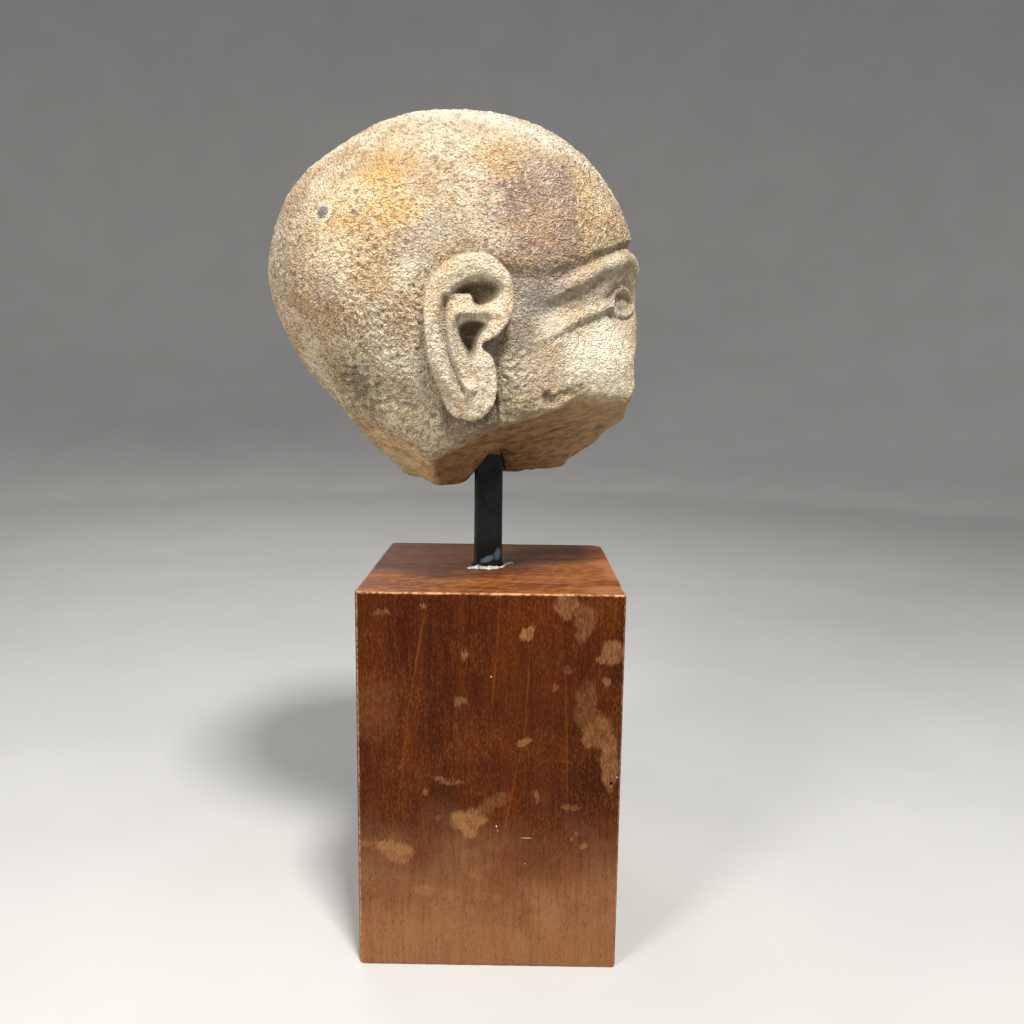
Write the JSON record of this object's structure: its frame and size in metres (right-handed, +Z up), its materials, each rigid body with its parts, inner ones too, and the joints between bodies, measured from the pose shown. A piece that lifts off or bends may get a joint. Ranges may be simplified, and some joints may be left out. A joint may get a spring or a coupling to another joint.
{
  "type": "ancient egyptian stone head",
  "caption": "Broken stone head in a close cap with carved ears, brow bands and cosmetic lines, held by a black steel post in a stained wooden block.",
  "frame": {"origin": "middle of the wooden block's underside", "axes": "+Z up, +X the way the face looks, the head's right ear towards -Y"},
  "size_m": [0.1513, 0.1351, 0.3364],
  "materials": {
    "stone": "coarse pecked sandstone, cream to ochre, with mauve and grey patches and brown broken faces",
    "post_paint": "smooth black gloss paint",
    "base_wood": "dark red-brown stain under a thin satin varnish, with pale dull splash marks"
  },
  "bodies": {
    "root": {"stone_head": "stone", "mount_post": "post_paint", "wooden_base": "base_wood"}
  },
  "joints": []
}
